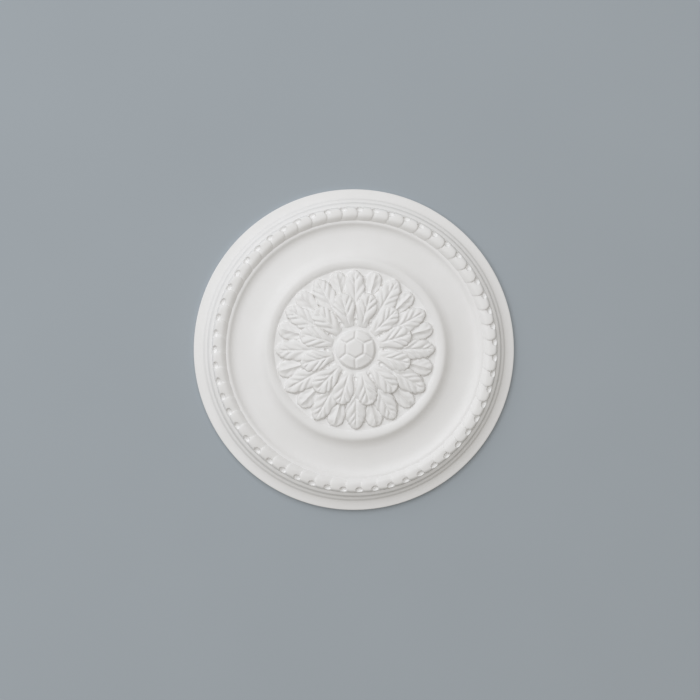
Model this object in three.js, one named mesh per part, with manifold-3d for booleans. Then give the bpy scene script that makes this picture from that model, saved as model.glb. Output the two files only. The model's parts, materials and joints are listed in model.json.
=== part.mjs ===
// Moulded ceiling rose: one light casting with a flat back, a stepped and roped border,
// a wide cove, and a rosette of three tiers of leaves round a plated boss.
// Millimetres. The rose lies on its back: the back face is z = 0 and the ornament faces +Z.
// Angles round the rose are counted clockwise from +Y, as seen from the front.
import * as THREE from 'three';
import { mergeVertices } from 'three/addons/utils/BufferGeometryUtils.js';
import Module from 'manifold-3d';

const wasm = await Module();
wasm.setup();

// Driving sizes of the turned body
const OUTER_RADIUS = 200;
const RIM_EDGE_HEIGHT = 7.7;
const FLANGE_RADIUS = 193.3;
const FLANGE_HEIGHT = 10.0;
const SMALL_COVE_RADIUS = 188.3;
const SMALL_COVE_MIDDLE_HEIGHT = 11.2;
const SMALL_COVE_HEIGHT = 13.2;
const STEP_COUNT = 2;
const STEP_OUTER_RADIUS = 187.2;
const STEP_PITCH = 5.0;
const STEP_RISE = 2.2;
const STEP_RISER_RUN = 1.1;
const STEP_TREAD_RISE = 0.4;

// Rope moulding
const ROPE_INNER_RADIUS = 160.2;
const ROPE_OUTER_RADIUS = 177.2;
const ROPE_FOOT_HEIGHT = 18.0;
const ROPE_CREST_HEIGHT = 22.9;
const ROPE_WIDTH_STEPS = 4;
const HUSK_COUNT = 55;
const HUSK_FIRST_ANGLE = 0.7;
const HUSK_NOSE_BULGE = 4.4;
const HUSK_NOSE_AT = 0.9;
const HUSK_TAIL_DROP = 2.6;
const ROPE_FOOT_SHARE = 0.99;
const BORDER_SEGMENTS = 2 * HUSK_COUNT;
const BORDER_INSIDE_RADIUS = 150;
const DISC_SEGMENTS = 60;
const DISC_RADIUS = 161;

// Inner fillet and cove
const FILLET_INNER_RADIUS = 157.2;
const FILLET_HEIGHT = 18.6;
const COVE_LOW_RADIUS = 144.6;
const COVE_LOW_HEIGHT = 14.0;
const COVE_INNER_ARC = 51;
const COVE_INNER_SWEEP = 38;
const COVE_OUTER_ARC = 18.8;
const COVE_OUTER_SWEEP = 37;
const COVE_INNER_STEPS = 4;
const COVE_OUTER_STEPS = 3;

// Round rim of the rosette's field
const RIM_CREST_RADIUS = 108.5;
const RIM_INSIDE_RADIUS = 100.4;
const FIELD_HEIGHT = 23.6;
const RIM_OUTER_STEPS = 2;
const RIM_INNER_STEPS = 3;

// Raised middle that the leaves lie on, and the ring-shaped sinking round the boss
const MOUND_RADIUS = 74;
const MOUND_HEIGHT = 29.0;
const MOAT_RADIUS = 31.5;
const MOUND_STEPS = 2;

// Leaves: every tier has the same count, and the tiers overlap like tiles
const LEAF_COUNT = 12;
const LEAF_ROOT_DEPTH = 4;
const LEAF_LENGTH_STEPS = 5;
const LEAF_WIDTH_STEPS = 4;
const LEAF_GROOVE_DEPTH = 1.3;
const LEAF_EDGE_DROP = 1.5;
const LEAF_TIP_SHARPNESS = 0.97;
const LEAF_TIP_ROUNDNESS = 0.58;
const LEAF_FALL_POWER = 1.5;
const LEAF_GROOVE_FADE = 0.6;
const LEAF_TIERS = [
  {
    turn: 15.6, innerRadius: 62, tipRadius: 99.4, halfWidth: 10.6, widestAt: 0.50, baseShare: 0.75,
    baseHeight: 26.6, crownHeight: 26.9, crownAt: 0.3, tipHeight: 26.0,
  },
  {
    turn: 0.3, innerRadius: 40, tipRadius: 99.6, halfWidth: 13.7, widestAt: 0.58, baseShare: 0.40,
    baseHeight: 31.0, crownHeight: 31.6, crownAt: 0.3, tipHeight: 27.0,
  },
  {
    turn: 15.2, innerRadius: 31, tipRadius: 72.2, halfWidth: 13.4, widestAt: 0.62, baseShare: 0.42,
    baseHeight: 31.4, crownHeight: 35.8, crownAt: 0.5, tipHeight: 32.2,
  },
];

// Boss: a low dome cut into plates by a hexagon of grooves and six spokes
const BOSS_RADIUS = 25.2;
const BOSS_CROWN_HEIGHT = 34.4;
const BOSS_EDGE_HEIGHT = 32.4;
const BOSS_EDGE_ROUND = 1.5;
const BOSS_SEGMENTS = 26;
const HEXAGON_SIDES = 6;
const HEXAGON_RADIUS = 12.4;
const HEXAGON_TURN = 7;
const HEXAGON_CENTRE = new THREE.Vector2(-1.6, 2.6);
const GROOVE_WIDTH = 2.2;
const GROOVE_DEPTH = 1.3;
const GROOVE_TOP = 4;
const SPOKE_START = 0.4;
const SPOKE_LENGTH = 20;
const SPOKE_STEPS = 3;

const ROSE_WHITE = 0xeeedea;

// A closed solid from a geometry: shared vertices merged, collapsed triangles left out
function solid(geometry) {
  geometry.deleteAttribute('normal');
  geometry.deleteAttribute('uv');
  const merged = mergeVertices(geometry, 1e-4);
  const corners = merged.index.array;
  const kept = [];
  for (let i = 0; i < corners.length; i += 3) {
    const [a, b, c] = [corners[i], corners[i + 1], corners[i + 2]];
    if (a !== b && b !== c && c !== a) {
      kept.push(a, b, c);
    }
  }
  const vertProperties = new Float32Array(merged.attributes.position.array);
  const triVerts = new Uint32Array(kept);
  return new wasm.Manifold(new wasm.Mesh({ numProp: 3, vertProperties, triVerts }));
}

// Points of an arc in the (radius, height) plane, angles in degrees from the outward direction
function arc(centreRadius, centreHeight, radius, fromDeg, toDeg, steps) {
  const points = [];
  for (let i = 0; i <= steps; i += 1) {
    const angle = THREE.MathUtils.degToRad(fromDeg + (toDeg - fromDeg) * (i / steps));
    const r = centreRadius + radius * Math.cos(angle);
    const z = centreHeight + radius * Math.sin(angle);
    points.push(new THREE.Vector2(r, z));
  }
  return points;
}

// Points of an S-shaped slope between two levels, level at both ends
function slope(fromRadius, fromHeight, toRadius, toHeight, steps) {
  const points = [];
  for (let i = 0; i <= steps; i += 1) {
    const share = i / steps;
    const rise = (1 - Math.cos(Math.PI * share)) / 2;
    const r = fromRadius + (toRadius - fromRadius) * share;
    points.push(new THREE.Vector2(r, fromHeight + (toHeight - fromHeight) * rise));
  }
  return points;
}

// Two narrow steps that climb from the small cove to the foot of the rope
function stepPoints() {
  const points = [];
  let height = SMALL_COVE_HEIGHT;
  for (let k = 0; k < STEP_COUNT; k += 1) {
    const radius = STEP_OUTER_RADIUS - k * STEP_PITCH;
    points.push(new THREE.Vector2(radius, height));
    points.push(new THREE.Vector2(radius - STEP_RISER_RUN, height + STEP_RISE));
    height += STEP_RISE + STEP_TREAD_RISE;
  }
  return points;
}

// Height of the rope's back across its width, from one foot over the crest to the other foot
function ropePoints() {
  const middle = (ROPE_INNER_RADIUS + ROPE_OUTER_RADIUS) / 2;
  const halfWidth = (ROPE_OUTER_RADIUS - ROPE_INNER_RADIUS) / 2;
  const points = [];
  for (let i = 0; i <= ROPE_WIDTH_STEPS; i += 1) {
    const across = 1 - (2 * i) / ROPE_WIDTH_STEPS;
    const height = ROPE_FOOT_HEIGHT + (ROPE_CREST_HEIGHT - ROPE_FOOT_HEIGHT) * (1 - across * across);
    points.push(new THREE.Vector2(middle + across * halfWidth, height));
  }
  return points;
}

// Carves the rope: every husk is low at its tail and high at its round nose, which points clockwise.
// Each husk has two lines of vertices, and the second one is moved up to the nose.
function carveHusks(geometry) {
  const place = geometry.attributes.position;
  const middle = (ROPE_INNER_RADIUS + ROPE_OUTER_RADIUS) / 2;
  const halfWidth = (ROPE_OUTER_RADIUS - ROPE_INNER_RADIUS) / 2;
  const pitch = (2 * Math.PI) / HUSK_COUNT;
  const first = THREE.MathUtils.degToRad(HUSK_FIRST_ANGLE);
  for (let i = 0; i < place.count; i += 1) {
    const radius = Math.hypot(place.getX(i), place.getY(i));
    const across = (radius - middle) / halfWidth;
    const height = place.getZ(i);
    if (Math.abs(across) < ROPE_FOOT_SHARE && height > ROPE_FOOT_HEIGHT) {
      const angle = Math.atan2(place.getX(i), place.getY(i));
      const line = Math.round(angle / (pitch / 2));
      const isNose = line % 2 !== 0;
      const nose = isNose ? (HUSK_NOSE_AT - 0.5) * pitch : 0;
      const turn = line * (pitch / 2) + nose + first + (HUSK_NOSE_BULGE / middle) * (0.5 - across * across);
      const lift = height - (isNose ? 0 : HUSK_TAIL_DROP * (1 - across * across));
      place.setXYZ(i, radius * Math.sin(turn), radius * Math.cos(turn), lift);
    }
  }
  return geometry;
}

// The border: flange, small cove, two steps and the rope
function border() {
  const profile = [
    new THREE.Vector2(BORDER_INSIDE_RADIUS, 0),
    new THREE.Vector2(OUTER_RADIUS, 0),
    new THREE.Vector2(OUTER_RADIUS, RIM_EDGE_HEIGHT),
    new THREE.Vector2(FLANGE_RADIUS, FLANGE_HEIGHT),
    new THREE.Vector2((FLANGE_RADIUS + SMALL_COVE_RADIUS) / 2, SMALL_COVE_MIDDLE_HEIGHT),
    ...stepPoints(),
    ...ropePoints(),
    new THREE.Vector2(BORDER_INSIDE_RADIUS, 0),
  ];
  const geometry = new THREE.LatheGeometry(profile, BORDER_SEGMENTS);
  return solid(carveHusks(geometry.rotateX(Math.PI / 2)));
}

// The disc inside the rope: fillet, cove, round rim, field and the raised middle
function disc() {
  const coveCentre = COVE_LOW_HEIGHT + COVE_INNER_ARC;
  const coveOuterCentre = COVE_LOW_HEIGHT + COVE_OUTER_ARC;
  const sweep = THREE.MathUtils.degToRad(COVE_INNER_SWEEP);
  const rimRound = (COVE_LOW_RADIUS - RIM_CREST_RADIUS) / Math.sin(sweep) - COVE_INNER_ARC;
  const rimCentre = coveCentre - (COVE_INNER_ARC + rimRound) * Math.cos(sweep);
  const crest = rimCentre + rimRound;
  const coveEnd = -90 - COVE_INNER_SWEEP;
  const coveInside = arc(COVE_LOW_RADIUS, coveCentre, COVE_INNER_ARC, -90, coveEnd, COVE_INNER_STEPS);
  const profile = [
    new THREE.Vector2(0, 0),
    new THREE.Vector2(DISC_RADIUS, 0),
    new THREE.Vector2(DISC_RADIUS, FILLET_HEIGHT),
    new THREE.Vector2(FILLET_INNER_RADIUS, FILLET_HEIGHT),
    ...arc(COVE_LOW_RADIUS, coveOuterCentre, COVE_OUTER_ARC, COVE_OUTER_SWEEP - 90, -90, COVE_OUTER_STEPS),
    ...coveInside.slice(1),
    ...arc(RIM_CREST_RADIUS, rimCentre, rimRound, 90 - COVE_INNER_SWEEP, 90, RIM_OUTER_STEPS).slice(1),
    ...slope(RIM_CREST_RADIUS, crest, RIM_INSIDE_RADIUS, FIELD_HEIGHT, RIM_INNER_STEPS).slice(1),
    ...slope(MOUND_RADIUS, FIELD_HEIGHT, MOAT_RADIUS, MOUND_HEIGHT, MOUND_STEPS),
    new THREE.Vector2(0, MOUND_HEIGHT),
  ];
  return solid(new THREE.LatheGeometry(profile, DISC_SEGMENTS).rotateX(Math.PI / 2));
}

// Width of a leaf at a share of its length, as a share of the greatest half width
function leafWidth(tier, share) {
  if (share <= tier.widestAt) {
    const swell = Math.sin((Math.PI / 2) * (share / tier.widestAt));
    return tier.baseShare + (1 - tier.baseShare) * swell;
  }
  const past = (share - tier.widestAt) / (1 - tier.widestAt);
  return Math.pow(1 - LEAF_TIP_SHARPNESS * past * past, LEAF_TIP_ROUNDNESS);
}

// Height of a leaf's back along its length: from the base up to the crown and down to the tip
function leafHeight(tier, share) {
  if (share <= tier.crownAt) {
    const rise = Math.sin((Math.PI / 2) * (share / tier.crownAt));
    return tier.baseHeight + (tier.crownHeight - tier.baseHeight) * rise;
  }
  const past = (share - tier.crownAt) / (1 - tier.crownAt);
  return tier.crownHeight + (tier.tipHeight - tier.crownHeight) * Math.pow(past, LEAF_FALL_POWER);
}

// One leaf that points along +Y: two puffed half blades with a groove between them
function leaf(tier) {
  const length = tier.tipRadius - tier.innerRadius;
  const geometry = new THREE.BoxGeometry(2, 1, 1, LEAF_WIDTH_STEPS, LEAF_LENGTH_STEPS, 1);
  const place = geometry.attributes.position;
  for (let i = 0; i < place.count; i += 1) {
    const across = place.getX(i);
    const share = Math.sin((Math.PI / 2) * (place.getY(i) + 0.5));
    const isTop = place.getZ(i) > 0;
    const puff = Math.abs(Math.abs(across) - 0.5) * 2;
    const groove = LEAF_GROOVE_DEPTH * (1 - share * LEAF_GROOVE_FADE);
    const drop = Math.abs(across) < 0.5 ? groove : LEAF_EDGE_DROP;
    const top = leafHeight(tier, share) - drop * puff * puff;
    const x = across * tier.halfWidth * leafWidth(tier, share);
    const y = tier.innerRadius + length * share;
    place.setXYZ(i, x, y, isTop ? top : FIELD_HEIGHT - LEAF_ROOT_DEPTH);
  }
  return geometry;
}

// A set of like pieces turned round the rose, joined to one solid
function ring(makeOne, count, firstAngle) {
  const pieces = [];
  for (let k = 0; k < count; k += 1) {
    const angle = THREE.MathUtils.degToRad(firstAngle + (360 / count) * k);
    pieces.push(solid(makeOne().rotateZ(-angle)));
  }
  return wasm.Manifold.union(pieces);
}

// Height of the boss's dome at a distance from its middle
function domeHeight(radius) {
  const share = radius / (BOSS_RADIUS - BOSS_EDGE_ROUND);
  return BOSS_CROWN_HEIGHT - (BOSS_CROWN_HEIGHT - BOSS_EDGE_HEIGHT) * share * share;
}

// The V-shaped section of a groove, its sides drawn on past the surface
function grooveSection() {
  const halfTop = (GROOVE_WIDTH / 2) * (1 + GROOVE_TOP / GROOVE_DEPTH);
  return [
    new THREE.Vector2(0, -GROOVE_DEPTH),
    new THREE.Vector2(halfTop, GROOVE_TOP),
    new THREE.Vector2(-halfTop, GROOVE_TOP),
  ];
}

// The groove round the hexagon: its section turned round in six straight stretches
function hexagonGroove() {
  const section = grooveSection().map((point) => point.setX(point.x + HEXAGON_RADIUS));
  const geometry = new THREE.LatheGeometry([...section, section[0]], HEXAGON_SIDES);
  geometry.rotateX(Math.PI / 2);
  geometry.rotateZ(Math.PI / 2 - THREE.MathUtils.degToRad(HEXAGON_TURN));
  const height = domeHeight(HEXAGON_RADIUS);
  return solid(geometry.translate(HEXAGON_CENTRE.x, HEXAGON_CENTRE.y, height));
}

// A groove that runs out from one corner of the hexagon and falls with the dome
function spokeGroove(angleDeg) {
  const shape = new THREE.Shape(grooveSection());
  const run = { depth: SPOKE_LENGTH, steps: SPOKE_STEPS, bevelEnabled: false };
  const geometry = new THREE.ExtrudeGeometry(shape, run);
  geometry.rotateX(Math.PI / 2).rotateZ(Math.PI);
  geometry.translate(0, HEXAGON_RADIUS + SPOKE_START, 0);
  geometry.rotateZ(-THREE.MathUtils.degToRad(angleDeg));
  geometry.translate(HEXAGON_CENTRE.x, HEXAGON_CENTRE.y, 0);
  const place = geometry.attributes.position;
  for (let i = 0; i < place.count; i += 1) {
    place.setZ(i, place.getZ(i) + domeHeight(Math.hypot(place.getX(i), place.getY(i))));
  }
  return solid(geometry);
}

// The boss: a dome with its edge eased, cut into plates by the grooves
function boss() {
  const low = MOUND_HEIGHT - LEAF_ROOT_DEPTH;
  const profile = [
    new THREE.Vector2(0, low),
    new THREE.Vector2(BOSS_RADIUS, low),
    new THREE.Vector2(BOSS_RADIUS, BOSS_EDGE_HEIGHT - BOSS_EDGE_ROUND),
    new THREE.Vector2(BOSS_RADIUS - BOSS_EDGE_ROUND, BOSS_EDGE_HEIGHT),
    new THREE.Vector2(BOSS_RADIUS / 2, domeHeight(BOSS_RADIUS / 2)),
    new THREE.Vector2(0, BOSS_CROWN_HEIGHT),
  ];
  const dome = solid(new THREE.LatheGeometry(profile, BOSS_SEGMENTS).rotateX(Math.PI / 2));
  const spokes = [];
  for (let k = 0; k < HEXAGON_SIDES; k += 1) {
    spokes.push(spokeGroove(HEXAGON_TURN + (360 / HEXAGON_SIDES) * k));
  }
  return dome.subtract(wasm.Manifold.union([hexagonGroove(), ...spokes]));
}

// A three.js geometry from a joined solid
function geometryOf(manifold) {
  const mesh = manifold.getMesh();
  const geometry = new THREE.BufferGeometry();
  geometry.setAttribute('position', new THREE.BufferAttribute(mesh.vertProperties, 3));
  geometry.setIndex(new THREE.BufferAttribute(mesh.triVerts, 1));
  return geometry;
}

const leaves = LEAF_TIERS.map((tier) => ring(() => leaf(tier), LEAF_COUNT, tier.turn));
const casting = wasm.Manifold.union([border(), disc(), ...leaves, boss()]);

const material = new THREE.MeshStandardMaterial({ color: ROSE_WHITE, roughness: 0.7, metalness: 0 });
const rose = new THREE.Mesh(geometryOf(casting), material);
rose.name = 'ceiling_rose';

const group = new THREE.Group();
group.add(rose);

export default group;
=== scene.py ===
# A moulded ceiling rose: one matt white casting, modelled over its solid and set on a plain studio floor.
import json
import math
import random

import bmesh
import bpy
from bpy.props import FloatProperty, FloatVectorProperty, IntProperty, PointerProperty
from mathutils import Matrix, Vector

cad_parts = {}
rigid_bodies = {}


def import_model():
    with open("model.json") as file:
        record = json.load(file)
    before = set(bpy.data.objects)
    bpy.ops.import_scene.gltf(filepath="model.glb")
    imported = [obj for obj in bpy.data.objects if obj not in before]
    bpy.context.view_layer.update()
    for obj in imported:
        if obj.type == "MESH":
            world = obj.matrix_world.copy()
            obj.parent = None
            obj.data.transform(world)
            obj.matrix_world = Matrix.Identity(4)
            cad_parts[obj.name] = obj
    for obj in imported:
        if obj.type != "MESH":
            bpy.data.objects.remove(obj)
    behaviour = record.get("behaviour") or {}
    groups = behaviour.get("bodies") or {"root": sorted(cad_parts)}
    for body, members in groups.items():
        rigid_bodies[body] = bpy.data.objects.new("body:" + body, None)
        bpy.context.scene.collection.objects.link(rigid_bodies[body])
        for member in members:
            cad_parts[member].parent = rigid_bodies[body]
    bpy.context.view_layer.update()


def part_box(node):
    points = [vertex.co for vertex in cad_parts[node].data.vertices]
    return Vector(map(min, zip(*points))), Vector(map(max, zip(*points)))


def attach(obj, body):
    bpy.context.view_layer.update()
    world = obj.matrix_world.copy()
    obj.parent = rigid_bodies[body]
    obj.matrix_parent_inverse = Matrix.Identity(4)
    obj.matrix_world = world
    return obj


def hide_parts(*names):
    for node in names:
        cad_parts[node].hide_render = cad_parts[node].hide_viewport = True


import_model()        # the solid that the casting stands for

bl_info = {
    "name": "Ceiling Rose",
    "version": (1, 0, 0),
    "blender": (4, 5, 0),
    "location": "3D View > Sidebar > Rose",
    "description": "Models a moulded ceiling rose with a roped border and a leaf rosette",
    "category": "Add Mesh",
}

_, ROSE_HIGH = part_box("ceiling_rose")

# Names of the pieces and of the casting that they are fused to
BODY = "rose_body"
BOSS = "rose_boss"
ROPE = "rope_husks_"
LEAVES = "leaves_"
EYES = "leaf_eyes"
PITS = "rope_pits"
CASTING = "ceiling_rose_casting"
TIER_NAMES = ("lower", "middle", "top")

# Where the rose stands in the square picture, in pixels
PICTURE_WIDTH = 700
RIM_CENTRE_IN_PICTURE = (354.66, 349.60)
RIM_RADIUS_IN_PICTURE = 160.41


def mm(value):
    """Metres from millimetres."""
    return value * 0.001


def mms(*values):
    """Several lengths in metres from millimetres."""
    return tuple(mm(value) for value in values)


def linear(code):
    """Linear red, green and blue from an sRGB hex value."""
    shares = [int(code[start:start + 2], 16) / 255 for start in (1, 3, 5)]
    return tuple(s / 12.92 if s <= 0.04045 else ((s + 0.055) / 1.055) ** 2.4 for s in shares)


def angles(*degrees):
    """Several angles in radians from degrees."""
    return tuple(math.radians(value) for value in degrees)


# Sizes and colours

class BodySizes(bpy.types.PropertyGroup):
    """The turned body: border, cove, round rim and field"""
    outer_radius: FloatProperty(
        name="Outer radius", description="From the centre to the outer edge",
        default=ROSE_HIGH.y, unit='LENGTH')
    edge_height: FloatProperty(
        name="Edge", description="Thickness at the outer edge", default=mm(6.0), unit='LENGTH')
    step_radius: FloatProperty(
        name="Step radius", description="Foot of the low outer step", default=mm(188.2), unit='LENGTH')
    step_foot: FloatProperty(
        name="Step foot", description="Height at the foot of the low outer step",
        default=mm(9.0), unit='LENGTH')
    low_rise: FloatProperty(
        name="Low rise", description="Height of the low outer step", default=mm(2.8), unit='LENGTH')
    high_radius: FloatProperty(
        name="High radius", description="Foot of the high inner step", default=mm(183.2), unit='LENGTH')
    high_rise: FloatProperty(
        name="High rise", description="Height of the high inner step", default=mm(4.6), unit='LENGTH')
    rope_outside: FloatProperty(
        name="Rope outside", description="Outer foot of the rope", default=mm(177.4), unit='LENGTH')
    rope_inside: FloatProperty(
        name="Rope inside", description="Inner foot of the rope", default=mm(159.8), unit='LENGTH')
    rope_foot: FloatProperty(
        name="Rope foot", description="Height of the rope's outer foot", default=mm(19.7), unit='LENGTH')
    fillet_radius: FloatProperty(
        name="Fillet radius", description="Inner edge of the narrow fillet inside the rope",
        default=mm(158.8), unit='LENGTH')
    fillet_height: FloatProperty(
        name="Fillet height", description="Height of that fillet", default=mm(20.2), unit='LENGTH')
    cove_radius: FloatProperty(
        name="Cove radius", description="Lowest line of the wide cove", default=mm(144.0), unit='LENGTH')
    cove_height: FloatProperty(
        name="Cove height", description="Height of that line", default=mm(15.5), unit='LENGTH')
    rim_radius: FloatProperty(
        name="Rim radius", description="Crest of the round rim", default=mm(108.5), unit='LENGTH')
    rim_height: FloatProperty(
        name="Rim height", description="Height of that crest", default=mm(25.2), unit='LENGTH')
    field_radius: FloatProperty(
        name="Field radius", description="Edge of the field inside the round rim",
        default=mm(100.2), unit='LENGTH')
    field_height: FloatProperty(
        name="Field height", description="Height of the field", default=mm(22.4), unit='LENGTH')
    mound_radius: FloatProperty(
        name="Mound radius", description="Foot of the raised middle under the leaves",
        default=mm(74), unit='LENGTH')
    mound_height: FloatProperty(
        name="Mound height", description="Height of the raised middle round the boss",
        default=mm(29.0), unit='LENGTH')
    moat_radius: FloatProperty(
        name="Moat radius", description="Edge of the level ring round the boss",
        default=mm(31.5), unit='LENGTH')
    turns: IntProperty(
        name="Turned facets", description="Facets round the turned body", default=190, min=24)


class RopeSizes(bpy.types.PropertyGroup):
    """The rope of overlapping husks"""
    husk_count: IntProperty(name="Husks", description="Husks round the rope", default=55, min=3)
    first_angle: FloatProperty(
        name="First husk", description="Clockwise turn of the first husk's nose from the top",
        default=math.radians(0.7), unit='ROTATION')
    crest: FloatProperty(
        name="Crest", description="Height of a husk's nose over the line between its feet",
        default=mm(5.5), unit='LENGTH')
    nose_bow: FloatProperty(
        name="Nose bow", description="How far the middle of a nose runs ahead of its sides",
        default=mm(4.2), unit='LENGTH')
    pit_place: FloatProperty(
        name="Pit place", description="From the middle of the rose to the pits ahead of the noses",
        default=mm(173.6), unit='LENGTH')
    pit_radius: FloatProperty(
        name="Pit radius", description="Radius of those pits", default=mm(3.7), unit='LENGTH')
    pit_height: FloatProperty(
        name="Pit height", description="Height of the middle of those pits", default=mm(24.0), unit='LENGTH')
    pit_lead: FloatProperty(
        name="Pit lead", description="How far the pits lie ahead of the first husk's nose",
        default=math.radians(1.0), unit='ROTATION')
    sunk: FloatProperty(
        name="Sunk", description="How far the husks reach down into the body", default=mm(3), unit='LENGTH')


class LeafSizes(bpy.types.PropertyGroup):
    """The leaves. Lists of three are for the lower, the middle and the top tier"""
    count: IntProperty(name="Leaves", description="Leaves in each tier", default=12, min=3)
    turn: FloatVectorProperty(
        name="Turn", description="Clockwise turn of each tier's first leaf", size=3,
        default=angles(15.4, 0.3, 15.2), unit='ROTATION')
    root_radius: FloatVectorProperty(
        name="Root radius", description="Where the leaves start", size=3,
        default=mms(60, 30, 28.6), unit='LENGTH')
    tip_radius: FloatVectorProperty(
        name="Tip radius", description="Where the leaves end", size=3,
        default=mms(98.4, 98.1, 70.2), unit='LENGTH')
    half_width: FloatVectorProperty(
        name="Half width", description="Greatest half width of a leaf", size=3,
        default=mms(10.7, 14.3, 14.0), unit='LENGTH')
    root_height: FloatVectorProperty(
        name="Root height", description="Height at the root", size=3,
        default=mms(25.8, 29.6, 30.4), unit='LENGTH')
    crown_height: FloatVectorProperty(
        name="Crown height", description="Greatest height along a leaf", size=3,
        default=mms(26.2, 30.0, 33.2), unit='LENGTH')
    tip_height: FloatVectorProperty(
        name="Tip height", description="Height at the tip", size=3,
        default=mms(25.2, 26.4, 31.2), unit='LENGTH')
    vein_pitch: FloatProperty(
        name="Vein pitch", description="From one side vein to the next, along the midrib",
        default=mm(12.0), unit='LENGTH')
    puff: FloatProperty(
        name="Puff", description="How far a lobe stands up over the veins", default=mm(1.2), unit='LENGTH')
    vein_hollow: FloatProperty(
        name="Vein hollow", description="Depth of the hollow where a side vein starts",
        default=mm(0.9), unit='LENGTH')
    notch: FloatProperty(
        name="Notch", description="Share of the width that a vein takes off the edge",
        default=0.15, subtype='FACTOR')
    midrib: FloatProperty(
        name="Midrib", description="Depth of the midrib's groove", default=mm(0.9), unit='LENGTH')
    edge_fall: FloatVectorProperty(
        name="Edge fall", description="How far a blade falls from the midrib to its edge where it is widest",
        size=3, default=mms(0.8, 2.6, 2.6), unit='LENGTH')
    ridge: FloatProperty(
        name="Ridge", description="Height of the ridge along the leaves of the lower tier",
        default=mm(2.4), unit='LENGTH')
    eye_place: FloatProperty(
        name="Eye place", description="From the middle to the pits between the roots of the top tier",
        default=mm(36), unit='LENGTH')
    eye_radius: FloatProperty(
        name="Eye radius", description="Radius of those pits", default=mm(2.6), unit='LENGTH')
    eye_height: FloatProperty(
        name="Eye height", description="Height of the middle of those pits", default=mm(30.4), unit='LENGTH')
    spread: FloatProperty(
        name="Spread", description="Greatest turn of a leaf out of its even place",
        default=math.radians(1.3), unit='ROTATION')
    seed: IntProperty(name="Seed", description="Starts the small differences between leaves", default=7)


class BossSizes(bpy.types.PropertyGroup):
    """The plated boss in the middle"""
    radius: FloatProperty(name="Radius", description="Radius of the boss", default=mm(24.0), unit='LENGTH')
    crown: FloatProperty(
        name="Crown", description="Height of the middle plate", default=mm(35.7), unit='LENGTH')
    fall: FloatProperty(
        name="Fall", description="How far the dome falls to its edge", default=mm(3.2), unit='LENGTH')
    hexagon: FloatProperty(
        name="Hexagon", description="Corner radius of the middle plate", default=mm(12.4), unit='LENGTH')
    hexagon_turn: FloatProperty(
        name="Hexagon turn", description="Clockwise turn of the hexagon", default=0.0, unit='ROTATION')
    hexagon_centre: FloatVectorProperty(
        name="Hexagon centre", description="Place of the hexagon, which is a little off the middle", size=2,
        default=mms(-0.9, 1.3), unit='LENGTH')
    groove_width: FloatProperty(
        name="Groove width", description="Width of the grooves between plates",
        default=mm(3.2), unit='LENGTH')
    groove_depth: FloatProperty(
        name="Groove depth", description="Depth of those grooves", default=mm(2.0), unit='LENGTH')
    pillow_width: FloatProperty(
        name="Pillow width", description="Width of the rounding on top of a plate",
        default=mm(1.3), unit='LENGTH')
    pillow_height: FloatProperty(
        name="Pillow height", description="Height of that rounding", default=mm(0.45), unit='LENGTH')


class Finish(bpy.types.PropertyGroup):
    """Colours of the casting"""
    primer: FloatVectorProperty(
        name="Primer", description="Colour of the white primer", size=3, subtype='COLOR',
        default=linear("#F0F0F0"))
    primer_thin: FloatVectorProperty(
        name="Thin primer", description="Colour where the primer lies thin", size=3, subtype='COLOR',
        default=linear("#EAEAE9"))
    # Painted shade: narrow grooves and crevices are darkened and warmed towards this colour in place of
    # their shade
    hollow: FloatVectorProperty(
        name="Hollow", description="Colour of the bare foam and dust deep in the hollows",
        size=3, subtype='COLOR', default=linear("#E4E2DF"))


class StageSettings(bpy.types.PropertyGroup):
    """Floor, light and camera"""
    floor_size: FloatProperty(name="Floor", description="Side of the floor", default=60.0, unit='LENGTH')
    floor_colour: FloatVectorProperty(
        name="Floor colour", description="Colour of the pale floor", size=3, subtype='COLOR',
        default=linear("#A8B0B6"))
    sky_colour: FloatVectorProperty(
        name="Sky colour", description="Colour of the even light all round", size=3, subtype='COLOR',
        default=linear("#FFF5E4"))
    sky_strength: FloatProperty(name="Sky strength", description="Strength of that light", default=0.27)
    key_colour: FloatVectorProperty(
        name="Key colour", description="Colour of the key light, a little cooler than the sky", size=3,
        subtype='COLOR', default=linear("#F6F9FF"))
    key_azimuth: FloatProperty(
        name="Key azimuth", description="Clockwise turn of the key light from the top of the rose",
        default=math.radians(316), unit='ROTATION')
    key_height: FloatProperty(
        name="Key height", description="Angle of the key light over the floor",
        default=math.radians(60), unit='ROTATION')
    key_distance: FloatProperty(
        name="Key distance", description="From the rose to the key light", default=5.0, unit='LENGTH')
    key_size: FloatProperty(
        name="Key size", description="Width of the soft key light", default=8.4, unit='LENGTH')
    key_power: FloatProperty(
        name="Key power", description="Power of the key light", default=286.0, unit='POWER')
    lens: FloatProperty(name="Lens", description="Focal length in millimetres", default=85.0, unit='CAMERA')
    orbit: FloatProperty(
        name="Orbit", description="How far the camera stands to the left of square-on",
        default=math.radians(3.0), unit='ROTATION')


class RoseSettings(bpy.types.PropertyGroup):
    """All settings of the rose"""
    body: PointerProperty(type=BodySizes)
    rope: PointerProperty(type=RopeSizes)
    leaf: PointerProperty(type=LeafSizes)
    boss: PointerProperty(type=BossSizes)
    finish: PointerProperty(type=Finish)
    stage: PointerProperty(type=StageSettings)


# Modelling steps that the pieces share

# Vertices that are closer than this are one
DOUBLES = mm(0.001)
# How far leaves and boss reach down under the field and the mound
SUNK = mm(3)


def active():
    """The object that is being worked on."""
    return bpy.context.view_layer.objects.active


def edit():
    """Goes into edit mode on the object that is being worked on."""
    bpy.ops.object.mode_set(mode='EDIT')


def leave():
    """Goes back to object mode."""
    bpy.ops.object.mode_set(mode='OBJECT')


def take(piece):
    """Makes a piece the only selected and active one."""
    bpy.ops.object.select_all(action='DESELECT')
    piece.select_set(True)
    bpy.context.view_layer.objects.active = piece


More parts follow.
